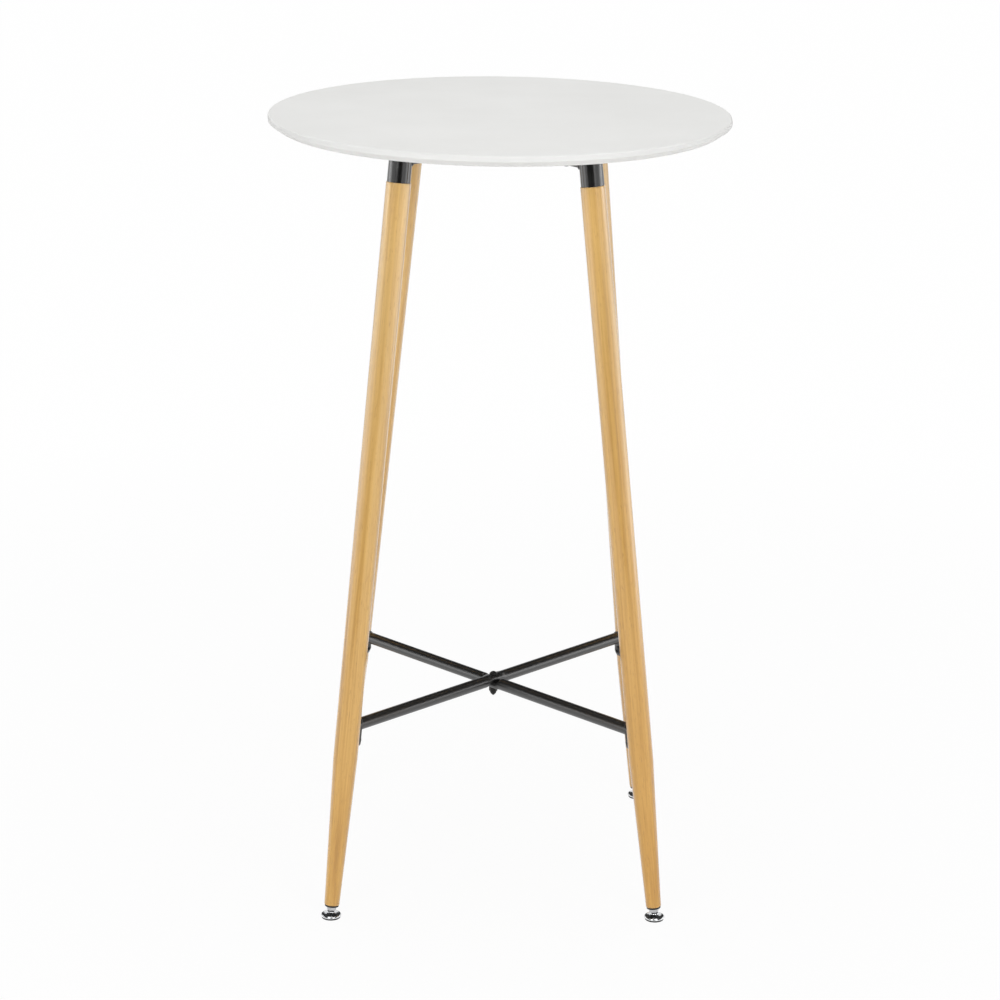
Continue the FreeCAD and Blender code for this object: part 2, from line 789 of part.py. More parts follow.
def brace_tab(corner, direction):
    """Strip bent to the leg's round, from the tube's end down to a tongue for the screw."""
    body = new_body("brace_tab_" + corner)
    way = 1 if corner in UPPER_TUBE else -1
    half = s.tab_width / 2
    inner_edge = -root(tab_inner * tab_inner - half * half)
    outer_edge = -root(tab_outer * tab_outer - half * half)
    low = tab_level - s.tab_drop
    high = tab_level + s.brace_offset * way + s.tab_rise
    strip = sketch_on(body, "XY_Plane", low)
    outline(strip, [(inner_edge, half), (outer_edge, half), (outer_edge, -half), (inner_edge, -half)],
            {1: tab_outer, 3: -tab_inner})
    pad(body, strip, high - low)
    openings = circle(sketch_on(body, "YZ_Plane"), screw_hole, 0, tab_screw_level)
    for side in (1, -1):
        edge = half * side
        start = (half - s.tab_corner) * side
        beyond = (half + s.overrun) * side
        for end, outward in ((low, -1), (high, 1)):
            past = end + s.overrun * outward
            shoulder = end - s.tab_corner * outward
            corner_cut = [(start, end), (start, past), (beyond, past), (beyond, shoulder), (edge, shoulder)]
            outline(openings, corner_cut, {4: s.tab_corner * (side * outward)})
    pocket(body, openings, tab_outer + s.overrun)
    node(body, "brace_tab_" + corner, leg_frame(direction))


def brace_fasteners():
    crown = brace_radius + s.brace_offset
    bolt = dome_screw("brace_bolt", crown * 2 + s.cap_nut_thread_depth - s.hole_gap, s.bolt_head_diameter)
    node(bolt, "brace_bolt", lifted(s.brace_height + crown))
    node(cap_nut(), "brace_cap_nut", lifted(s.brace_height - crown))
    screw = dome_screw("brace_screw", s.tab_screw_length, s.screw_head_diameter)
    group("brace_screws", screw,
          [facing_inward(direction, tab_outer, tab_screw_level) for direction in CORNER_ANGLES.values()])
    group("brace_rivet_nuts", rivet_nut(),
          [facing_inward(direction, leg_radius, tab_screw_level) for direction in CORNER_ANGLES.values()])


def cap_nut():
    """Domed nut that hangs under the crossing."""
    body = new_body("brace_cap_nut")
    dome = s.cap_nut_dome / 2
    pad(body, hexagon(sketch_on(body, "XY_Plane", -s.cap_nut_hex), s.cap_nut_across), s.cap_nut_hex)
    points = [(0, -s.cap_nut_height), (dome, dome - s.cap_nut_height), (dome, -s.cap_nut_hex),
              (0, -s.cap_nut_hex)]
    revolve(body, points, {0: dome})
    pocket(body, circle(sketch_on(body, "XY_Plane"), thread_hole), s.cap_nut_thread_depth)
    return body


def rivet_nut():
    """Sleeve in the leg's wall, with the bulge that the setting tool leaves behind the wall."""
    body = new_body("rivet_nut")
    sleeve = s.rivet_nut_diameter / 2
    bulge = s.rivet_bulge_diameter / 2
    bulge_end = s.rivet_bulge_inset + s.rivet_bulge_length
    end = s.rivet_nut_inset + s.rivet_nut_length
    revolve(body, [(thread_hole, -end), (sleeve, -end), (sleeve, -bulge_end), (bulge, -bulge_end),
                   (bulge, -s.rivet_bulge_inset), (sleeve, -s.rivet_bulge_inset),
                   (sleeve, -s.rivet_nut_inset), (thread_hole, -s.rivet_nut_inset)])
    return body


# The whole table

table_top()
top_fasteners()
cross_frame()
for each_corner, each_direction in CORNER_ANGLES.items():
    leg_socket(each_corner, each_direction)
    leg(each_corner, each_direction)
    leg_head_bush(each_corner, each_direction)
    leg_tip_plug(each_corner, each_direction)
    foot_stud(each_corner, each_direction)
    foot_bell(each_corner, each_direction)
    foot_pad(each_corner, each_direction)
    brace_tab(each_corner, each_direction)
leg_studs()
tip_nuts()
brace_tube("brace_tube_upper", UPPER_TUBE, 1)
brace_tube("brace_tube_lower", LOWER_TUBE, -1)
brace_fasteners()
doc.recompute()

for thing in doc.Objects:
    if "Invalid" in thing.State or "Error" in thing.State:
        raise RuntimeError("%s failed: %s" % (thing.Name, thing.State))
for thing in nodes:
    if thing.Shape.isNull() or not thing.Shape.isValid() or not thing.Shape.Solids:
        raise RuntimeError("%s has no sound solid" % thing.Label)

os.makedirs("parts", exist_ok=True)
for thing in nodes:
    thing.Shape.exportStep("parts/%s.step" % thing.Label)
print("%d nodes, %d solids" % (len(nodes), sum(len(thing.Shape.Solids) for thing in nodes)))
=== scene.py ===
import json
import math

import bpy
from mathutils import Matrix, Vector


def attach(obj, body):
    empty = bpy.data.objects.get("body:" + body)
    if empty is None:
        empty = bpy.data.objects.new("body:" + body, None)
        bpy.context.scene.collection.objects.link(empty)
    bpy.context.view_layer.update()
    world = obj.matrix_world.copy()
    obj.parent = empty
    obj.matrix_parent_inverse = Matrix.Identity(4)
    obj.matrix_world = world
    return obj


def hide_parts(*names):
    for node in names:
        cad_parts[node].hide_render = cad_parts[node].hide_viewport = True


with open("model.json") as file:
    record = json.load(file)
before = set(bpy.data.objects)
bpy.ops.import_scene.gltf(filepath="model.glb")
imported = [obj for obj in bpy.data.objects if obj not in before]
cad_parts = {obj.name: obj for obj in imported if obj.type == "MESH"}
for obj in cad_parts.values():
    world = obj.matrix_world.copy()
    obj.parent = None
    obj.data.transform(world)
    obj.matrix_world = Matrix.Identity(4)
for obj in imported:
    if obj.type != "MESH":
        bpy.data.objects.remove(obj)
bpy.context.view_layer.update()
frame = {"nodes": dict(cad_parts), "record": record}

nodes = frame["nodes"]

# Sizes of the CAD model in metres, where pieces below follow it. The origin is on the floor under the
# middle of the top, +Z is up and the front is towards -Y.

CORNERS = {"front_left": 225, "front_right": 315, "rear_right": 45, "rear_left": 135}
UPPER_TUBE = ("rear_right", "front_left")
UNDERSIDE = 1.020
RAIL_BOTTOM = 0.988
RAIL_WIDTH = 0.020
RAIL_CORNER = 0.0025
FOOT_SPREAD = 0.303
HEAD_SPREAD = 0.166
LEG_SWAY = 0.011
SOCKET_RADIUS = 0.015
BRACE_HEIGHT = 0.256
BRACE_OFFSET = 0.0016
BRACE_RADIUS = 0.008
TAB_OUTER = 0.0186
BALL_RADIUS = 0.004
BALL_LIFT = 0.0057
FOOT_NECK_RADIUS = 0.0025
FOOT_HEX_ACROSS = 0.011
FOOT_HEX_BOTTOM = 0.0105
FOOT_HEX_HEIGHT = 0.005
FOOT_THREAD_RADIUS = 0.004
FOOT_THREAD_LENGTH = 0.036
FOOT_THREAD_CHAMFER = 0.001
FOOT_THREAD_PITCH = 0.00125
CAP_NUT_ACROSS = 0.010
CAP_NUT_HEX = 0.0055
CAP_NUT_DOME_RADIUS = 0.0045
CAP_NUT_HEIGHT = 0.012

LEG_RUN = FOOT_SPREAD - HEAD_SPREAD
LEG_SLOPE = math.hypot(LEG_RUN, UNDERSIDE)
LEG_LINE = math.hypot(LEG_SLOPE, LEG_SWAY)
LEAN = math.atan2(LEG_RUN, UNDERSIDE)
SWAY = math.asin(LEG_SWAY / LEG_LINE)


def spread_at(height):
    """Distance of a leg's axis from the table's middle, along its diagonal, at this height."""
    return FOOT_SPREAD - height * LEG_RUN / UNDERSIDE


def aside_at(height):
    """Distance of a leg's axis from its diagonal, counter-clockwise, at this height."""
    return (BRACE_HEIGHT - height) * LEG_SWAY / UNDERSIDE


RAIL_MIDDLE = (UNDERSIDE + RAIL_BOTTOM) / 2
RAIL_TURN = math.atan2(aside_at(RAIL_MIDDLE), spread_at(RAIL_MIDDLE))


def turned(direction):
    return Matrix.Rotation(math.radians(direction), 4, "Z")


def leg_frame(direction):
    """A leg's own frame: +Z runs up its axis from the floor and +X points away from the table."""
    lean = Matrix.Rotation(-LEAN, 4, "Y") @ Matrix.Rotation(SWAY, 4, "X")
    return turned(direction) @ Matrix.Translation((FOOT_SPREAD, aside_at(0), 0)) @ lean


def rail_frame(direction):
    """Upright frame on the floor with +X under the rail that reaches the leg of this corner."""
    return turned(direction) @ Matrix.Rotation(RAIL_TURN, 4, "Z")


# Materials

class Paint:
    """A Principled material and the texture nodes that feed it."""

    def __init__(self, name, roughness, metallic=0.0, coat=0.0, specular=0.5):
        self.material = bpy.data.materials.new(name)
        self.material.use_nodes = True
        self.tree = self.material.node_tree
        self.shader = self.tree.nodes["Principled BSDF"]
        self.shader.inputs["Roughness"].default_value = roughness
        self.shader.inputs["Metallic"].default_value = metallic
        self.shader.inputs["Coat Weight"].default_value = coat
        self.shader.inputs["Specular IOR Level"].default_value = specular
        self.place = self.node("ShaderNodeTexCoord").outputs["Object"]

    def node(self, kind, **values):
        made = self.tree.nodes.new(kind)
        for name, value in values.items():
            setattr(made, name, value)
        return made

    def feed(self, socket, value):
        """Set an input, or link an output to it."""
        if isinstance(value, bpy.types.NodeSocket):
            self.tree.links.new(value, socket)
        else:
            socket.default_value = value

    def mapped(self, matrix=None, scale=(1, 1, 1), shift=0.0):
        """The place in the frame of a matrix, stretched by a scale and shifted along its first axis."""
        place = self.place
        if matrix is not None:
            back = self.node("ShaderNodeMapping", vector_type="TEXTURE")
            self.feed(back.inputs["Vector"], place)
            back.inputs["Location"].default_value = matrix.to_translation()
            back.inputs["Rotation"].default_value = matrix.to_euler("XYZ")
            place = back.outputs["Vector"]
        stretch = self.node("ShaderNodeMapping", vector_type="POINT")
        self.feed(stretch.inputs["Vector"], place)
        stretch.inputs["Scale"].default_value = scale
        stretch.inputs["Location"].default_value = (shift, 0, 0)
        return stretch.outputs["Vector"]

    def noise(self, place, scale, detail=2.0, roughness=0.5, distortion=0.0):
        made = self.node("ShaderNodeTexNoise")
        self.feed(made.inputs["Vector"], place)
        made.inputs["Scale"].default_value = scale
        made.inputs["Detail"].default_value = detail
        made.inputs["Roughness"].default_value = roughness
        made.inputs["Distortion"].default_value = distortion
        return made.outputs["Fac"]

    def ramp(self, factor, *stops):
        """Colours, or grey levels, at places from 0 to 1."""
        made = self.node("ShaderNodeValToRGB")
        self.feed(made.inputs["Fac"], factor)
        elements = made.color_ramp.elements
        while len(elements) < len(stops):
            elements.new(1.0)
        for element, (place, colour) in zip(elements, stops):
            element.position = place
            element.color = (*colour, 1) if isinstance(colour, tuple) else (colour, colour, colour, 1)
        return made.outputs["Color"]

    def mix(self, factor, a, b, blend="MIX"):
        made = self.node("ShaderNodeMix", data_type="RGBA", blend_type=blend)
        for socket, value in ((made.inputs[0], factor), (made.inputs[6], a), (made.inputs[7], b)):
            self.feed(socket, (*value, 1) if isinstance(value, tuple) else value)
        return made.outputs[2]

    def range(self, factor, low, high):
        made = self.node("ShaderNodeMapRange")
        self.feed(made.inputs["Value"], factor)
        made.inputs["To Min"].default_value = low
        made.inputs["To Max"].default_value = high
        return made.outputs["Result"]

    def bump(self, height, distance, strength=1.0, under=None):
        made = self.node("ShaderNodeBump")
        made.inputs["Strength"].default_value = strength
        made.inputs["Distance"].default_value = distance
        self.feed(made.inputs["Height"], height)
        if under is not None:
            self.feed(made.inputs["Normal"], under)
        return made.outputs["Normal"]

    def finish(self, colour, roughness=None, normal=None):
        self.feed(self.shader.inputs["Base Color"], colour)
        if roughness is not None:
            self.feed(self.shader.inputs["Roughness"], roughness)
        if normal is not None:
            self.feed(self.shader.inputs["Normal"], normal)
        return self.material


def white_coating():
    """Matt white coated board, with a fine pearl grain."""
    paint = Paint("white_top", 0.6, specular=0.1)
    cloud = paint.noise(paint.place, 9, detail=3)
    grain = paint.noise(paint.place, 1400, roughness=0.6)
    colour = paint.ramp(cloud, (0.3, (0.775, 0.775, 0.760)), (0.7, (0.800, 0.800, 0.786)))
    return paint.finish(colour, paint.range(grain, 0.56, 0.68), paint.bump(grain, 0.00006, 0.35))


def powder_coat(name, colour_low, colour_high, rough_low, rough_high, specular):
    """Satin black powder coat, with its orange-peel grain."""
    paint = Paint(name, rough_low, specular=specular)
    peel = paint.noise(paint.place, 900, detail=3, roughness=0.55)
    cloud = paint.noise(paint.place, 35, detail=3)
    speck = paint.noise(paint.place, 2600, detail=1)
    colour = paint.ramp(cloud, (0.3, colour_low), (0.7, colour_high))
    normal = paint.bump(speck, 0.00001, 0.15, paint.bump(peel, 0.00003, 0.15))
    return paint.finish(colour, paint.range(cloud, rough_low, rough_high), normal)


# Stretch of the grain across and along a leg, for streaks, broad bands and pores
STREAK_SCALE = (190, 190, 3.5)
BAND_SCALE = (75, 75, 1.6)
FLECK_SCALE = (1100, 1100, 95)
GRAIN_SHIFT = 0.37
PORE_COLOUR = (0.330, 0.165, 0.055)
WARM_LOW, WARM_HIGH = 0.10, 0.80
LEG_TINT = {"front_left": (1.0, 1.0, 1.0), "front_right": (0.97, 0.93, 0.84),
            "rear_right": (0.98, 0.95, 0.88), "rear_left": (1.0, 0.98, 0.95)}


def beech_look(corner, direction):
    """Beech-look coating whose grain runs along one leg, warmer towards its tip."""
    paint = Paint("wood_look_" + corner, 0.3, coat=1.0, specular=0.2)
    paint.shader.inputs["Coat Roughness"].default_value = 0.12
    paint.shader.inputs["Coat IOR"].default_value = 1.55
    matrix = leg_frame(direction)
    shift = direction * GRAIN_SHIFT
    streak = paint.noise(paint.mapped(matrix, STREAK_SCALE, shift), 1,
                         detail=5, roughness=0.62, distortion=0.25)
    band = paint.noise(paint.mapped(matrix, BAND_SCALE, shift), 1, detail=3, distortion=0.4)
    fleck = paint.noise(paint.mapped(matrix, FLECK_SCALE, shift), 1, roughness=0.55)
    along = paint.node("ShaderNodeSeparateXYZ")
    paint.feed(along.inputs[0], paint.mapped(matrix))
    pores = paint.ramp(fleck, (0.60, 0.0), (0.72, 1.0))
    tone = paint.ramp(streak, (0.22, (0.458, 0.258, 0.087)), (0.42, (0.639, 0.403, 0.144)),
                      (0.60, (0.736, 0.488, 0.188)), (0.80, (0.809, 0.574, 0.249)))
    broad = paint.ramp(band, (0.3, (0.84, 0.79, 0.70)), (0.7, (1.0, 1.0, 1.0)))
    warmth = paint.ramp(along.outputs["Z"], (WARM_LOW, (0.99, 0.86, 0.54)), (WARM_HIGH, (1.0, 1.0, 1.0)))
    colour = paint.mix(1.0, paint.mix(0.8, tone, broad, "MULTIPLY"), warmth, "MULTIPLY")
    colour = paint.mix(1.0, colour, LEG_TINT[corner], "MULTIPLY")
    dark = paint.mix(paint.range(pores, 0.0, 0.45), colour, PORE_COLOUR)
    normal = paint.bump(pores, -0.00005, 0.35, paint.bump(streak, 0.00008, 0.25))
    return paint.finish(dark, paint.range(streak, 0.34, 0.24), normal)


def bright_metal(name, colour_low, colour_high, rough_low, rough_high):
    """Plated or chromed steel with faint polishing marks."""
    paint = Paint(name, rough_low, metallic=1.0)
    marks = paint.noise(paint.mapped(scale=(300, 300, 2500)), 1, detail=3, roughness=0.6)
    cloud = paint.noise(paint.place, 120)
    colour = paint.ramp(cloud, (0.3, colour_low), (0.7, colour_high))
    return paint.finish(colour, paint.range(marks, rough_low, rough_high), paint.bump(marks, 0.00001, 0.15))


def moulded(name, colour_low, colour_high, rough_low, rough_high, grain):
    """Moulded plastic or rubber with an eroded surface."""
    paint = Paint(name, rough_low, specular=0.4)
    texture = paint.noise(paint.place, grain, detail=3, roughness=0.6)
    colour = paint.ramp(texture, (0.3, colour_low), (0.7, colour_high))
    normal = paint.bump(texture, 0.00006, 0.5)
    return paint.finish(colour, paint.range(texture, rough_low, rough_high), normal)


FRAME_BLACK = ((0.0060, 0.0060, 0.0058), (0.0095, 0.0095, 0.0092))
SCREW_BLACK = ((0.0080, 0.0080, 0.0078), (0.0130, 0.0130, 0.0126))

black_steel = powder_coat("black_steel", *FRAME_BLACK, 0.28, 0.34, 1.0)
socket_steel = powder_coat("socket_steel", *FRAME_BLACK, 0.14, 0.20, 0.85)
black_screw = powder_coat("black_screw", *SCREW_BLACK, 0.30, 0.40, 0.5)
black_nut = powder_coat("black_nut", *SCREW_BLACK, 0.40, 0.50, 0.25)
finishes = {
    "white_top": white_coating(),
    "black_steel": black_steel,
    "black_screw": black_screw,
    "black_plastic": moulded("black_plastic", (0.010, 0.010, 0.010), (0.016, 0.016, 0.016), 0.42, 0.56, 1800),
    "black_rubber": moulded("black_rubber", (0.012, 0.012, 0.012), (0.022, 0.022, 0.021), 0.70, 0.85, 1200),
    "chrome": bright_metal("chrome", (0.62, 0.63, 0.64), (0.68, 0.69, 0.70), 0.08, 0.14),
    "plated_steel": bright_metal("plated_steel", (0.50, 0.50, 0.51), (0.58, 0.58, 0.58), 0.24, 0.36),
    "zinc_steel": bright_metal("zinc_steel", (0.52, 0.52, 0.50), (0.62, 0.61, 0.58), 0.30, 0.44),
}
legs_finish = {corner: beech_look(corner, direction) for corner, direction in CORNERS.items()}
slots = {row["node"]: row["material_slot"] for row in frame["record"]["subparts"]}


def dress(piece, material):
    piece.data.materials.clear()
    piece.data.materials.append(material)


for name, piece in nodes.items():
    if slots[name] == "wood_look":
        dress(piece, legs_finish[name.removeprefix("leg_")])
    elif name.startswith("leg_socket_"):
        dress(piece, socket_steel)
    else:
        dress(piece, finishes[slots[name]])


# Pieces that are modelled here

SHARP_ANGLE = math.radians(32)


def add_piece(name, points, faces, material, body, stands_for=None):
    """A mesh that rides on a body, with smooth faces and crisp edges."""
    mesh = bpy.data.meshes.new(name)
    mesh.from_pydata(points, [], faces)
    mesh.validate()
    mesh.shade_smooth()
    mesh.set_sharp_from_angle(angle=SHARP_ANGLE)
    mesh.materials.append(material)
    made = bpy.data.objects.new(name, mesh)
    bpy.context.scene.collection.objects.link(made)
    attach(made, body)
    if stands_for is not None:
        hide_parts(stands_for)


def loft(rings, closed=False):
    """Faces over rings of points that have as many points each: open with two end caps, or closed."""
    count = len(rings[0])
    points = [point for ring in rings for point in ring]
    faces = []
    for row in range(len(rings) if closed else len(rings) - 1):
        this, following = row * count, (row + 1) % len(rings) * count
        for k in range(count):
            after = (k + 1) % count
            faces.append((this + k, this + after, following + after, following + k))
    if not closed:
        last = (len(rings) - 1) * count
        faces.append(tuple(reversed(range(count))))
        faces.append(tuple(range(last, last + count)))
    return points, faces


TURN_SEGMENTS = 48
TURN_ANGLES = [2 * math.pi * k / TURN_SEGMENTS for k in range(TURN_SEGMENTS)]


def polar_rings(place, profile):
    """Rings about +Z of a frame, from heights and radii; a radius may be a function of the angle."""
    rings = []
    for height, radius in profile:
        reach = radius if callable(radius) else lambda angle, fixed=radius: fixed
        rings.append([place @ Vector((reach(a) * math.cos(a), reach(a) * math.sin(a), height))
                      for a in TURN_ANGLES])
    return rings


HEX_STEP = math.pi / 3
HEX_CHAMFER_SHARE = 0.95
HEX_CHAMFER_SLOPE = math.tan(math.radians(60))
HEX_CHAMFER_STEPS = 4


def hexagon(across, limit):
    """Radius of a hexagon with a corner at angle zero, kept inside a round limit."""
    return lambda angle: min(across / 2 / math.cos(angle % HEX_STEP - HEX_STEP / 2), limit)


def hex_profile(across, low, high, low_chamfer=True, high_chamfer=True):
    """Hexagon with the usual turned chamfers at its ends."""
    start = across / 2 * HEX_CHAMFER_SHARE
    corner = across / math.sqrt(3)
    depth = (corner - start) / HEX_CHAMFER_SLOPE
    shares = [step / HEX_CHAMFER_STEPS for step in range(HEX_CHAMFER_STEPS + 1)]
    lower = [(low + depth * share, hexagon(across, start + (corner - start) * share)) for share in shares]
    upper = [(high - depth * share, hexagon(across, start + (corner - start) * share))
             for share in reversed(shares)]
    return ((lower if low_chamfer else [(low, hexagon(across, corner))])
            + (upper if high_chamfer else [(high, hexagon(across, corner))]))


BALL_STEPS = 12


def ball_profile(middle, radius, start, end):
    """Rings of a ball from one angle of latitude to another."""
    steps = [start + (end - start) * k / BALL_STEPS for k in range(BALL_STEPS + 1)]
    return [(middle + radius * math.sin(angle), radius * math.cos(angle)) for angle in steps]


THREAD_DEPTH_SHARE = 0.61
THREAD_FLANK_SHARE = 0.44
THREAD_STEPS_PER_PITCH = 8
THREAD_RUNOUT = 0.0015
POLE_LATITUDE = math.radians(88)


def thread_profile(low, high):
    """Right-hand thread with a run-out above the hexagon and a chamfer at its end."""
    crest = FOOT_THREAD_RADIUS
    depth = FOOT_THREAD_PITCH * THREAD_DEPTH_SHARE

    def radius_at(height):
        runout = min((height - low) / THREAD_RUNOUT, 1)
        limit = min(crest, crest - FOOT_THREAD_CHAMFER + (high - height))

        def radius(angle):
            phase = (height / FOOT_THREAD_PITCH - angle / (2 * math.pi)) % 1
            groove = max(0, min(1, (0.5 - abs(phase - 0.5)) / THREAD_FLANK_SHARE))
            return min(limit, crest - depth * groove * runout)
        return radius

    steps = round((high - low) / FOOT_THREAD_PITCH * THREAD_STEPS_PER_PITCH)
    heights = [low + (high - low) * k / steps for k in range(steps + 1)]
    return [(height, radius_at(height)) for height in heights]


def foot_stud(corner, direction):
    """Ball, neck, chamfered hexagon and M8 thread, turned from one piece."""
    ball = BALL_LIFT * LEG_LINE / UNDERSIDE
    neck_latitude = math.acos(FOOT_NECK_RADIUS / BALL_RADIUS)
    hex_top = FOOT_HEX_BOTTOM + FOOT_HEX_HEIGHT
    profile = ball_profile(ball, BALL_RADIUS, -POLE_LATITUDE, neck_latitude)
    profile += [(FOOT_HEX_BOTTOM, FOOT_NECK_RADIUS)]
    profile += hex_profile(FOOT_HEX_ACROSS, FOOT_HEX_BOTTOM, hex_top)
    profile += thread_profile(hex_top, hex_top + FOOT_THREAD_LENGTH)
    points, faces = loft(polar_rings(leg_frame(direction), profile))
    add_piece("threaded_foot_stud_" + corner, points, faces, finishes["plated_steel"],
              "foot_stud_" + corner, "foot_stud_" + corner)


ACORN_POWER = 1.9


def cap_nut():
    """Acorn nut under the crossing, with a drawn-out dome and a hexagon chamfered towards it."""
    place = Matrix.Translation((0, 0, BRACE_HEIGHT - BRACE_OFFSET - BRACE_RADIUS))
    dome = CAP_NUT_HEIGHT - CAP_NUT_HEX
    latitudes = [POLE_LATITUDE * k / BALL_STEPS for k in range(BALL_STEPS, -1, -1)]
    profile = [(-CAP_NUT_HEX - dome * math.sin(angle), CAP_NUT_DOME_RADIUS * math.cos(angle) ** ACORN_POWER)
               for angle in latitudes]
    profile += hex_profile(CAP_NUT_ACROSS, -CAP_NUT_HEX, 0, high_chamfer=False)
    points, faces = loft(polar_rings(place, profile))
    add_piece("domed_cap_nut", points, faces, black_nut, "table", "brace_cap_nut")


WELD_RADIUS = 0.0016
WELD_RIPPLE_SHARE = 0.09
WELD_RIPPLE_LENGTH = 0.0022
WELD_STEP = 0.0004
WELD_SEGMENTS = 12
WELD_END_SHARE = 0.35
WELD_END_STEEPNESS = 8
WELD_SINK_SHARE = 0.25


def weld_rings(path, closed, radius):
    """Rings of a rippled bead along a path of points."""
    rings = []
    run = 0.0
    count = len(path)
    for k, point in enumerate(path):
        before = path[k - 1] if closed or k > 0 else point
        after = path[(k + 1) % count] if closed or k < count - 1 else point
        ahead = (after - before).normalized()
        aside = ahead.orthogonal() if k == 0 else (aside - ahead * aside.dot(ahead))
        aside.normalize()
        other = ahead.cross(aside)
        run += (point - before).length
        swell = 1 + WELD_RIPPLE_SHARE * math.sin(2 * math.pi * run / WELD_RIPPLE_LENGTH)
        if not closed:
            to_end = min(k, count - 1 - k) / (count - 1) * 2
            swell *= WELD_END_SHARE + (1 - WELD_END_SHARE) * min(1, to_end * WELD_END_STEEPNESS) ** 0.5
        rings.append([point + (aside * math.cos(a) + other * math.sin(a)) * radius * swell
                      for a in (2 * math.pi * j / WELD_SEGMENTS for j in range(WELD_SEGMENTS))])
    return rings


def spaced(path, closed):
    """Points at even steps along a line of points."""
    corners = path + [path[0]] if closed else path
    lengths = [(b - a).length for a, b in zip(corners, corners[1:])]
    count = max(2, round(sum(lengths) / WELD_STEP))
    wanted = [sum(lengths) * k / count for k in range(count if closed else count + 1)]
    points = []
    edge, start = 0, 0.0
    for place in wanted:
        while edge < len(lengths) - 1 and place > start + lengths[edge]:
            start += lengths[edge]
            edge += 1
        share = (place - start) / lengths[edge]
        points.append(corners[edge].lerp(corners[edge + 1], share))
    return points


def weld(name, path, closed, radius=WELD_RADIUS):
    points, faces = loft(weld_rings(spaced(path, closed), closed, radius), closed)
    add_piece(name, points, faces, finishes["black_steel"], "table")


def saddle(place, outline, direction, radius):
    """Where lines along +X of a frame, through an outline of sides and heights, first meet a leg's round."""
    into_leg = leg_frame(direction).inverted() @ place
    step = into_leg.to_3x3() @ Vector((1, 0, 0))
    points = []
    for side, height in outline:
        start = into_leg @ Vector((0, side, height))
        a = step.x ** 2 + step.y ** 2
        b = start.x * step.x + start.y * step.y
        c = start.x ** 2 + start.y ** 2 - radius ** 2
        points.append(place @ Vector(((-b - math.sqrt(b * b - a * c)) / a, side, height)))
    return points


ARC_STEPS = 48
BRACE_WELD_RADIUS = 0.0012


def brace_weld(corner, direction):
    """Bead around the end of a brace tube, where it meets the tab on the leg."""
    way = 1 if corner in UPPER_TUBE else -1
    place = turned(direction) @ Matrix.Translation((0, 0, BRACE_HEIGHT + BRACE_OFFSET * way))
    turns = [2 * math.pi * k / ARC_STEPS for k in range(ARC_STEPS)]
    outline = [(BRACE_RADIUS * math.cos(turn), BRACE_RADIUS * math.sin(turn)) for turn in turns]
    path = saddle(place, outline, direction, TAB_OUTER + BRACE_WELD_RADIUS * WELD_SINK_SHARE)
    weld("weld_brace_" + corner, path, True, BRACE_WELD_RADIUS)


RAIL_WELD_CLEARANCE = 0.002
RAIL_WELD_TOP = UNDERSIDE - RAIL_WELD_CLEARANCE
WELD_SINK = WELD_RADIUS * WELD_SINK_SHARE
CORNER_STEPS = ARC_STEPS // 4


def rail_outline():
    """Down one side of a rail, across its bottom and up the other side."""
    half = RAIL_WIDTH / 2 + WELD_SINK
    low = RAIL_BOTTOM - WELD_SINK
    turn = RAIL_CORNER + WELD_SINK
    outline = [(half, RAIL_WELD_TOP)]
    for side, first in ((1, 0), (-1, math.pi / 2)):
        for k in range(CORNER_STEPS + 1):
            angle = first + math.pi / 2 * k / CORNER_STEPS
            across = side * (half - turn) + turn * math.cos(angle)
            outline.append((across, low + turn - turn * math.sin(angle)))
    return outline + [(-half, RAIL_WELD_TOP)]


def socket_weld(corner, direction):
    """Bead around the end of a rail, where it is coped to the socket."""
    path = saddle(rail_frame(direction), rail_outline(), direction, SOCKET_RADIUS + WELD_SINK)
    weld("weld_socket_" + corner, path, False)


def rail_weld(name, direction):
    """Bead around the end of a short rail, where it meets the long one."""
    along = RAIL_WIDTH / 2 + WELD_SINK
    path = [rail_frame(direction) @ Vector((along, side, height)) for side, height in rail_outline()]
    weld(name, path, False)


for each_corner, each_direction in CORNERS.items():
    foot_stud(each_corner, each_direction)
    brace_weld(each_corner, each_direction)
    socket_weld(each_corner, each_direction)
cap_nut()
rail_weld("weld_rail_left", CORNERS["rear_left"])
rail_weld("weld_rail_right", CORNERS["front_right"])


# Studio

def lamp(name, place, aim, size, power, mirrored=True):
    """Soft lamp that the camera doesn't see; one that isn't mirrored leaves no glint."""
    data = bpy.data.lights.new(name, "AREA")
    data.shape = "RECTANGLE"
    data.size, data.size_y = size
    data.energy = power
    made = bpy.data.objects.new(name, data)
    bpy.context.scene.collection.objects.link(made)
    made.location = place
    made.rotation_euler = (Vector(aim) - Vector(place)).to_track_quat("-Z", "Y").to_euler()
    made.visible_camera = False
    made.visible_glossy = mirrored


def background_rays(tree):
    """1 for the rays that show the background: seen, mirrored or through glass."""
    path = tree.nodes.new("ShaderNodeLightPath")
    total = path.outputs["Is Camera Ray"]
    for name in ("Is Glossy Ray", "Is Transmission Ray"):
        add = tree.nodes.new("ShaderNodeMath")
        add.operation = "ADD"
        add.use_clamp = True
        tree.links.new(total, add.inputs[0])
        tree.links.new(path.outputs[name], add.inputs[1])
        total = add.outputs[0]
    return total


FLOOR_HALF = 30.0
FLOOR_GREY = 0.92
FLOOR_NEAR, FLOOR_NEAR_WHITE = 0.6, 0.94
FLOOR_FAR, FLOOR_FAR_WHITE = 2.2, 0.995


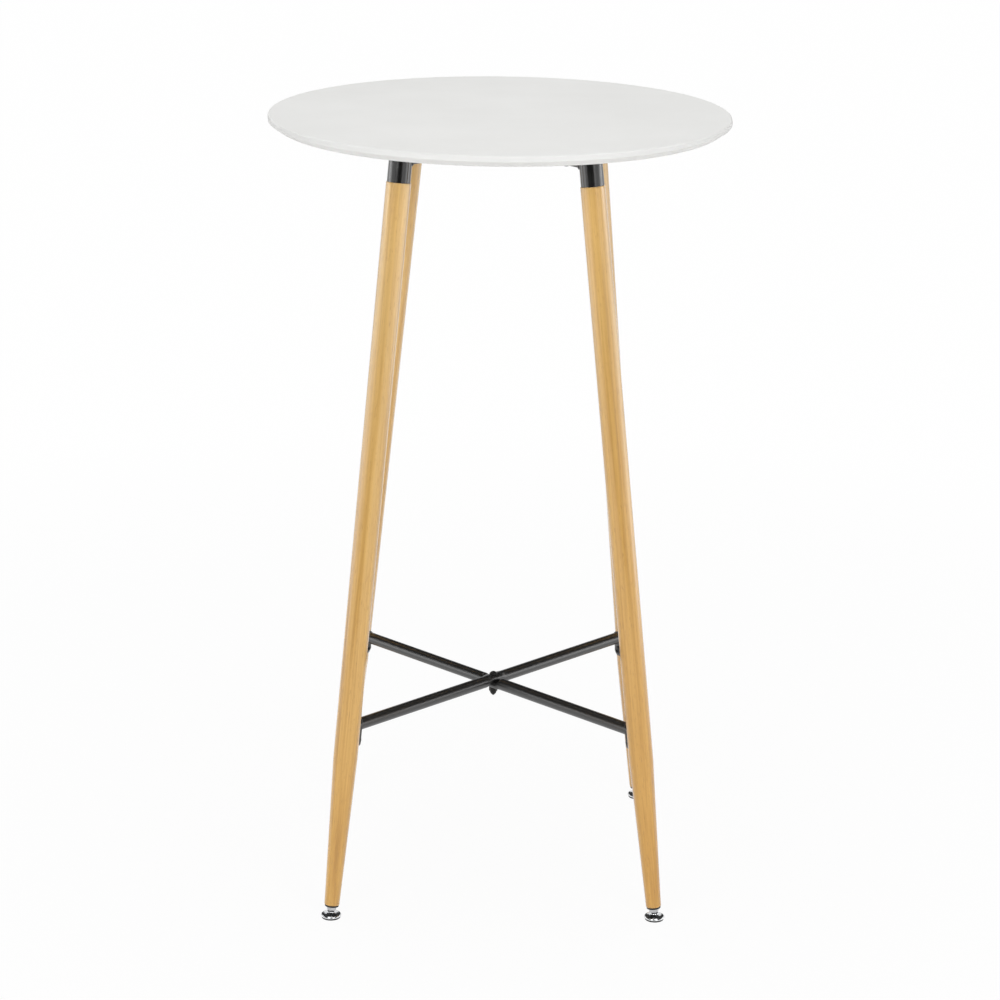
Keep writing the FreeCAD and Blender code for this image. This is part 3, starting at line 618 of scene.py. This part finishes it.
def floor():
    """White floor that keeps a faint shadow near the object and is see-through from below."""
    mesh = bpy.data.meshes.new("floor")
    corners = [(-FLOOR_HALF, -FLOOR_HALF, 0), (FLOOR_HALF, -FLOOR_HALF, 0),
               (FLOOR_HALF, FLOOR_HALF, 0), (-FLOOR_HALF, FLOOR_HALF, 0)]
    mesh.from_pydata(corners, [], [(0, 1, 2, 3)])
    made = bpy.data.objects.new("floor", mesh)
    bpy.context.scene.collection.objects.link(made)
    material = bpy.data.materials.new("floor")
    material.use_nodes = True
    tree = material.node_tree
    shader = tree.nodes["Principled BSDF"]
    shader.inputs["Base Color"].default_value = (FLOOR_GREY, FLOOR_GREY, FLOOR_GREY, 1)
    shader.inputs["Roughness"].default_value = 0.9
    shader.inputs["Specular IOR Level"].default_value = 0.0
    glow = tree.nodes.new("ShaderNodeEmission")
    glow.inputs["Strength"].default_value = 1.0
    reach = tree.nodes.new("ShaderNodeVectorMath")
    reach.operation = "LENGTH"
    tree.links.new(tree.nodes.new("ShaderNodeTexCoord").outputs["Object"], reach.inputs[0])
    white = tree.nodes.new("ShaderNodeMapRange")
    tree.links.new(reach.outputs["Value"], white.inputs["Value"])
    for name, value in (("From Min", FLOOR_NEAR), ("From Max", FLOOR_FAR),
                        ("To Min", FLOOR_NEAR_WHITE), ("To Max", FLOOR_FAR_WHITE)):
        white.inputs[name].default_value = value
    share = tree.nodes.new("ShaderNodeMath")
    share.operation = "MULTIPLY"
    tree.links.new(background_rays(tree), share.inputs[0])
    tree.links.new(white.outputs["Result"], share.inputs[1])
    mix = tree.nodes.new("ShaderNodeMixShader")
    tree.links.new(share.outputs[0], mix.inputs[0])
    tree.links.new(shader.outputs[0], mix.inputs[1])
    tree.links.new(glow.outputs[0], mix.inputs[2])
    below = tree.nodes.new("ShaderNodeMixShader")
    tree.links.new(tree.nodes.new("ShaderNodeNewGeometry").outputs["Backfacing"], below.inputs[0])
    tree.links.new(mix.outputs[0], below.inputs[1])
    tree.links.new(tree.nodes.new("ShaderNodeBsdfTransparent").outputs[0], below.inputs[2])
    tree.links.new(below.outputs[0], tree.nodes["Material Output"].inputs["Surface"])
    mesh.materials.append(material)


# Limits in the unit direction that is looked in
WALL_TOP = 0.12
CEILING_START, CEILING_GREY = 0.28, 0.05
SCREEN_SIDE = (0.30, 0.50)
SCREEN_BACK = (0.35, 0.55)
SCREEN_RISE = 0.5


def room():
    """Pale walls at eye level that fade to a darker ceiling, and taller white screens in the rear corners."""
    world = bpy.data.worlds.new("room")
    bpy.context.scene.world = world
    world.use_nodes = True
    tree = world.node_tree
    direction = tree.nodes.new("ShaderNodeTexCoord").outputs["Generated"]
    split = tree.nodes.new("ShaderNodeSeparateXYZ")
    tree.links.new(direction, split.inputs[0])

    def combined(operation, a, b):
        made = tree.nodes.new("ShaderNodeMath")
        made.operation = operation
        for value, socket in zip((a, b), made.inputs):
            tree.links.new(value, socket)
        return made.outputs[0]

    def share(value, low, high):
        made = tree.nodes.new("ShaderNodeMapRange")
        tree.links.new(value, made.inputs["Value"])
        made.inputs["From Min"].default_value = low
        made.inputs["From Max"].default_value = high
        made.inputs["To Max"].default_value = math.sqrt(SCREEN_RISE)
        return made.outputs["Result"]

    aside = tree.nodes.new("ShaderNodeMath")
    aside.operation = "ABSOLUTE"
    tree.links.new(split.outputs["X"], aside.inputs[0])
    to_side = share(aside.outputs[0], *SCREEN_SIDE)
    to_back = share(split.outputs["Y"], *SCREEN_BACK)
    rise = combined("MULTIPLY", to_side, to_back)
    height = combined("SUBTRACT", split.outputs["Z"], rise)
    ramp = tree.nodes.new("ShaderNodeValToRGB")
    tree.links.new(height, ramp.inputs["Fac"])
    elements = ramp.color_ramp.elements
    elements[0].position = WALL_TOP
    elements[0].color = (1, 1, 1, 1)
    elements[1].position = CEILING_START
    elements[1].color = (CEILING_GREY, CEILING_GREY, CEILING_GREY, 1)
    tree.links.new(ramp.outputs["Color"], tree.nodes["Background"].inputs["Color"])
    tree.nodes["Background"].inputs["Strength"].default_value = 1.0


FLAG_PLACE = -3.2
FLAG_LEFT = -2.6
FLAG_RIGHT = 1.4
FLAG_HEIGHT = 3.0
FLAG_GREY = 0.02


def flag():
    """Dark screen across the front of the studio, which only reflections show."""
    mesh = bpy.data.meshes.new("flag")
    corners = [(FLAG_LEFT, FLAG_PLACE, 0), (FLAG_RIGHT, FLAG_PLACE, 0),
               (FLAG_RIGHT, FLAG_PLACE, FLAG_HEIGHT), (FLAG_LEFT, FLAG_PLACE, FLAG_HEIGHT)]
    mesh.from_pydata(corners, [], [(0, 1, 2, 3)])
    made = bpy.data.objects.new("flag", mesh)
    bpy.context.scene.collection.objects.link(made)
    material = bpy.data.materials.new("flag")
    material.use_nodes = True
    shader = material.node_tree.nodes["Principled BSDF"]
    shader.inputs["Base Color"].default_value = (FLAG_GREY, FLAG_GREY, FLAG_GREY, 1)
    shader.inputs["Roughness"].default_value = 1.0
    mesh.materials.append(material)
    made.visible_camera = False
    made.visible_shadow = False


CAMERA_PIXELS = 1000
FOCAL_PIXELS = 3145.5
CAMERA_DISTANCE = 4.2173
CAMERA_ELEVATION = math.radians(16.834)
CAMERA_AZIMUTH = math.radians(-0.379)
CAMERA_ROLL = math.radians(0.717)
CAMERA_AIM_SIDE = 0.0060
CAMERA_AIM_HEIGHT = 0.5130


def camera():
    data = bpy.data.cameras.new("camera")
    data.sensor_fit = "HORIZONTAL"
    data.lens = FOCAL_PIXELS / CAMERA_PIXELS * data.sensor_width
    back = Vector((math.sin(CAMERA_AZIMUTH) * math.cos(CAMERA_ELEVATION),
                   -math.cos(CAMERA_AZIMUTH) * math.cos(CAMERA_ELEVATION), math.sin(CAMERA_ELEVATION)))
    right = Vector((math.cos(CAMERA_AZIMUTH), math.sin(CAMERA_AZIMUTH), 0))
    up = back.cross(right)
    rolled_right = math.cos(CAMERA_ROLL) * right + math.sin(CAMERA_ROLL) * up
    rolled_up = -math.sin(CAMERA_ROLL) * right + math.cos(CAMERA_ROLL) * up
    place = right * CAMERA_AIM_SIDE + Vector((0, 0, CAMERA_AIM_HEIGHT)) + back * CAMERA_DISTANCE
    matrix = Matrix((rolled_right, rolled_up, back)).transposed().to_4x4()
    matrix.translation = place
    made = bpy.data.objects.new("camera", data)
    bpy.context.scene.collection.objects.link(made)
    made.matrix_world = matrix
    bpy.context.scene.camera = made


floor()
room()
flag()

# Each lamp has its place, aim, size in metres and power in watts
lamp("overhead", (0.0, 0.2, 3.2), (0, 0, 0.9), (2.2, 1.8), 43)
lamp("key_left", (-1.3, -2.8, 1.9), (0, 0, 0.7), (1.4, 1.4), 36)
lamp("key_right", (1.3, -2.8, 1.9), (0, 0, 0.7), (1.4, 1.4), 34)
lamp("low_fill", (0.0, -1.7, 0.05), (0, 0, 1.0), (1.6, 0.8), 3.6, mirrored=False)
for way in (-1, 1):
    lamp("panel", (2.2 * way, 0.25, 0.46), (0, 0.25, 0.46), (1.7, 0.92), 5.8)
    lamp("panel_front", (2.2 * way, -0.93, 0.62), (0, -0.93, 0.62), (0.65, 0.60), 1.5)
    lamp("panel_edge", (2.19 * way, 0.25, 0.95), (0, 0.25, 0.95), (1.7, 0.05), 1.8)
    lamp("low_side", (1.5 * way, -0.3, 0.05), (0.25 * way, 0, 1.02), (0.8, 0.8), 1.6, mirrored=False)
lamp("right_strip", (2.15, 0.33, 0.5), (0, 0.33, 0.5), (0.22, 1.0), 0.8)

camera()
bpy.context.scene.view_settings.view_transform = "Standard"
